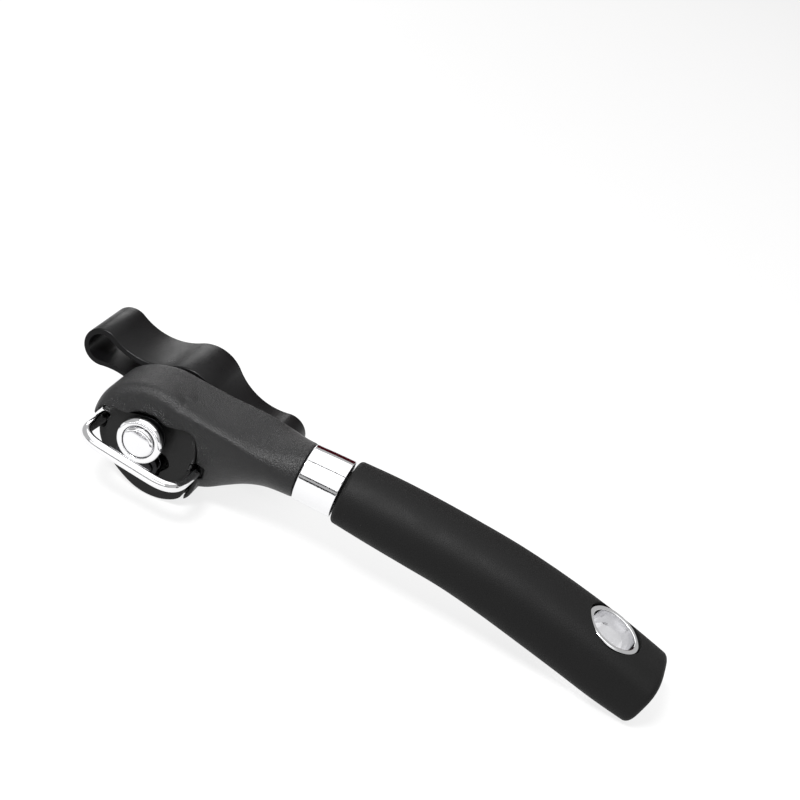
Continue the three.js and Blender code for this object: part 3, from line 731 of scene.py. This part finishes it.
def oval(half_length, half_width, low, high, sides=160):
    """An oval bar through the grip where the eyelet sits."""
    turns = [2 * math.pi * k / sides for k in range(sides)]
    made = skin([
        [(half_length * math.cos(a), half_width * math.sin(a), level) for a in turns]
        for level in (low, high)
    ])
    made.data.transform(EYELET)
    return made


grip = lofted(GRIP_ROWS, FERRULE_X1 + 2 * GAP, TAIL_X, 170, 128, 0, 1.3, 1.9)
cut(
    grip,
    oval(8.5, 8.1, -30, 30),
    oval(9.4, 9.1, SEAT, 30),
    oval(9.4, 9.1, -30, -SEAT),
)
finish_piece("grip_body", grip, "grip_sleeve", angle=50)


def oval_ring(profile, sides=160):
    """A ring of rounded section that follows the eyelet's oval: profile of (grow, level)."""
    rings = []
    for a in (2 * math.pi * k / sides for k in range(sides)):
        rings.append([
            ((EYELET_LONG + grow) * math.cos(a), (EYELET_WIDE + grow) * math.sin(a), level)
            for grow, level in soften(profile, 0.35)
        ])
    made = skin(rings, looped=True)
    made.data.transform(EYELET)
    return made


eyelet = oval_ring([
    (0.0, -LIP_END), (1.7, -LIP_END), (1.7, -SEAT - GAP), (0.8, -SEAT - GAP), (0.8, SEAT + GAP),
    (1.7, SEAT + GAP), (1.7, LIP_END), (0.0, LIP_END),
])
finish_piece("eyelet_ring", eyelet, "hang_eyelet", angle=60)

# ---- floor and light ----------------------------------------------------
bm = bmesh.new()
bmesh.ops.create_grid(bm, x_segments=2, y_segments=2, size=4.0)
floor = from_bmesh(bm, "floor")
floor_mat = bpy.data.materials.new("pale_floor")
floor_mat.use_nodes = True
floor_shader = floor_mat.node_tree.nodes["Principled BSDF"]
floor_shader.inputs["Base Color"].default_value = (0.12, 0.12, 0.12, 1)
floor_shader.inputs["Emission Color"].default_value = (1, 1, 1, 1)
floor_shader.inputs["Emission Strength"].default_value = 0.8
floor_shader.inputs["Roughness"].default_value = 0.7
floor_shader.inputs["Specular IOR Level"].default_value = 0.2
floor.data.materials.append(floor_mat)

world = bpy.data.worlds.new("studio")
bpy.context.scene.world = world
world.use_nodes = True
background = world.node_tree.nodes["Background"]
background.inputs["Color"].default_value = (1, 1, 1, 1)
background.inputs["Strength"].default_value = 0.5


def softbox(name, place, aim, size, power):
    """A rectangular lamp that faces its aim; size in metres, power in watts."""
    data = bpy.data.lights.new(name, "AREA")
    data.shape, data.size, data.size_y, data.energy = "RECTANGLE", size[0], size[1], power
    lamp = bpy.data.objects.new(name, data)
    bpy.context.collection.objects.link(lamp)
    lamp.location = place
    lamp.rotation_euler = (Vector(aim) - Vector(place)).to_track_quat("-Z", "Y").to_euler()


softbox("overhead", (0.0, 0.15, 0.9), (0, 0, 0), (1.4, 1.5), 7)
softbox("key", (-0.18, -0.45, 0.7), (-0.04, 0, 0.02), (0.22, 0.18), 12)
softbox("back_left", (-0.65, 1.25, 0.42), (-0.05, 0.02, 0.03), (0.5, 0.4), 2)
softbox("front", (0, -1.2, 0.75), (0, 0, 0.05), (2.4, 0.8), 5)


def card(name, color, x, y, z):
    """A dark card that only the chrome's reflections show: x, y and z ranges."""
    bm = bmesh.new()
    verts = [bm.verts.new((a, b, c)) for a in x for b in y for c in z]
    bmesh.ops.convex_hull(bm, input=verts)
    obj = from_bmesh(bm, name)
    mat = bpy.data.materials.new(name)
    mat.use_nodes = True
    shader = mat.node_tree.nodes["Principled BSDF"]
    shader.inputs["Base Color"].default_value = color + (1,)
    shader.inputs["Specular IOR Level"].default_value = 0.0
    obj.data.materials.append(mat)
    obj.visible_camera = False


DARK_RED = 0.06, 0.004, 0.008
BLACK = 0.01, 0.01, 0.01
card("back_card", DARK_RED, (-0.9, 0.65), (2.2, 2.21), (0, 1.1))
card("front_card_low", BLACK, (-2, 2), (-1.05, -1.04), (0.0, 0.1))
card("front_card_high", BLACK, (-2, 2), (-1.05, -1.04), (0.25, 0.33))
card("top_strip", BLACK, (-0.6, 0.6), (-0.2, -0.16), (0.7, 0.705))
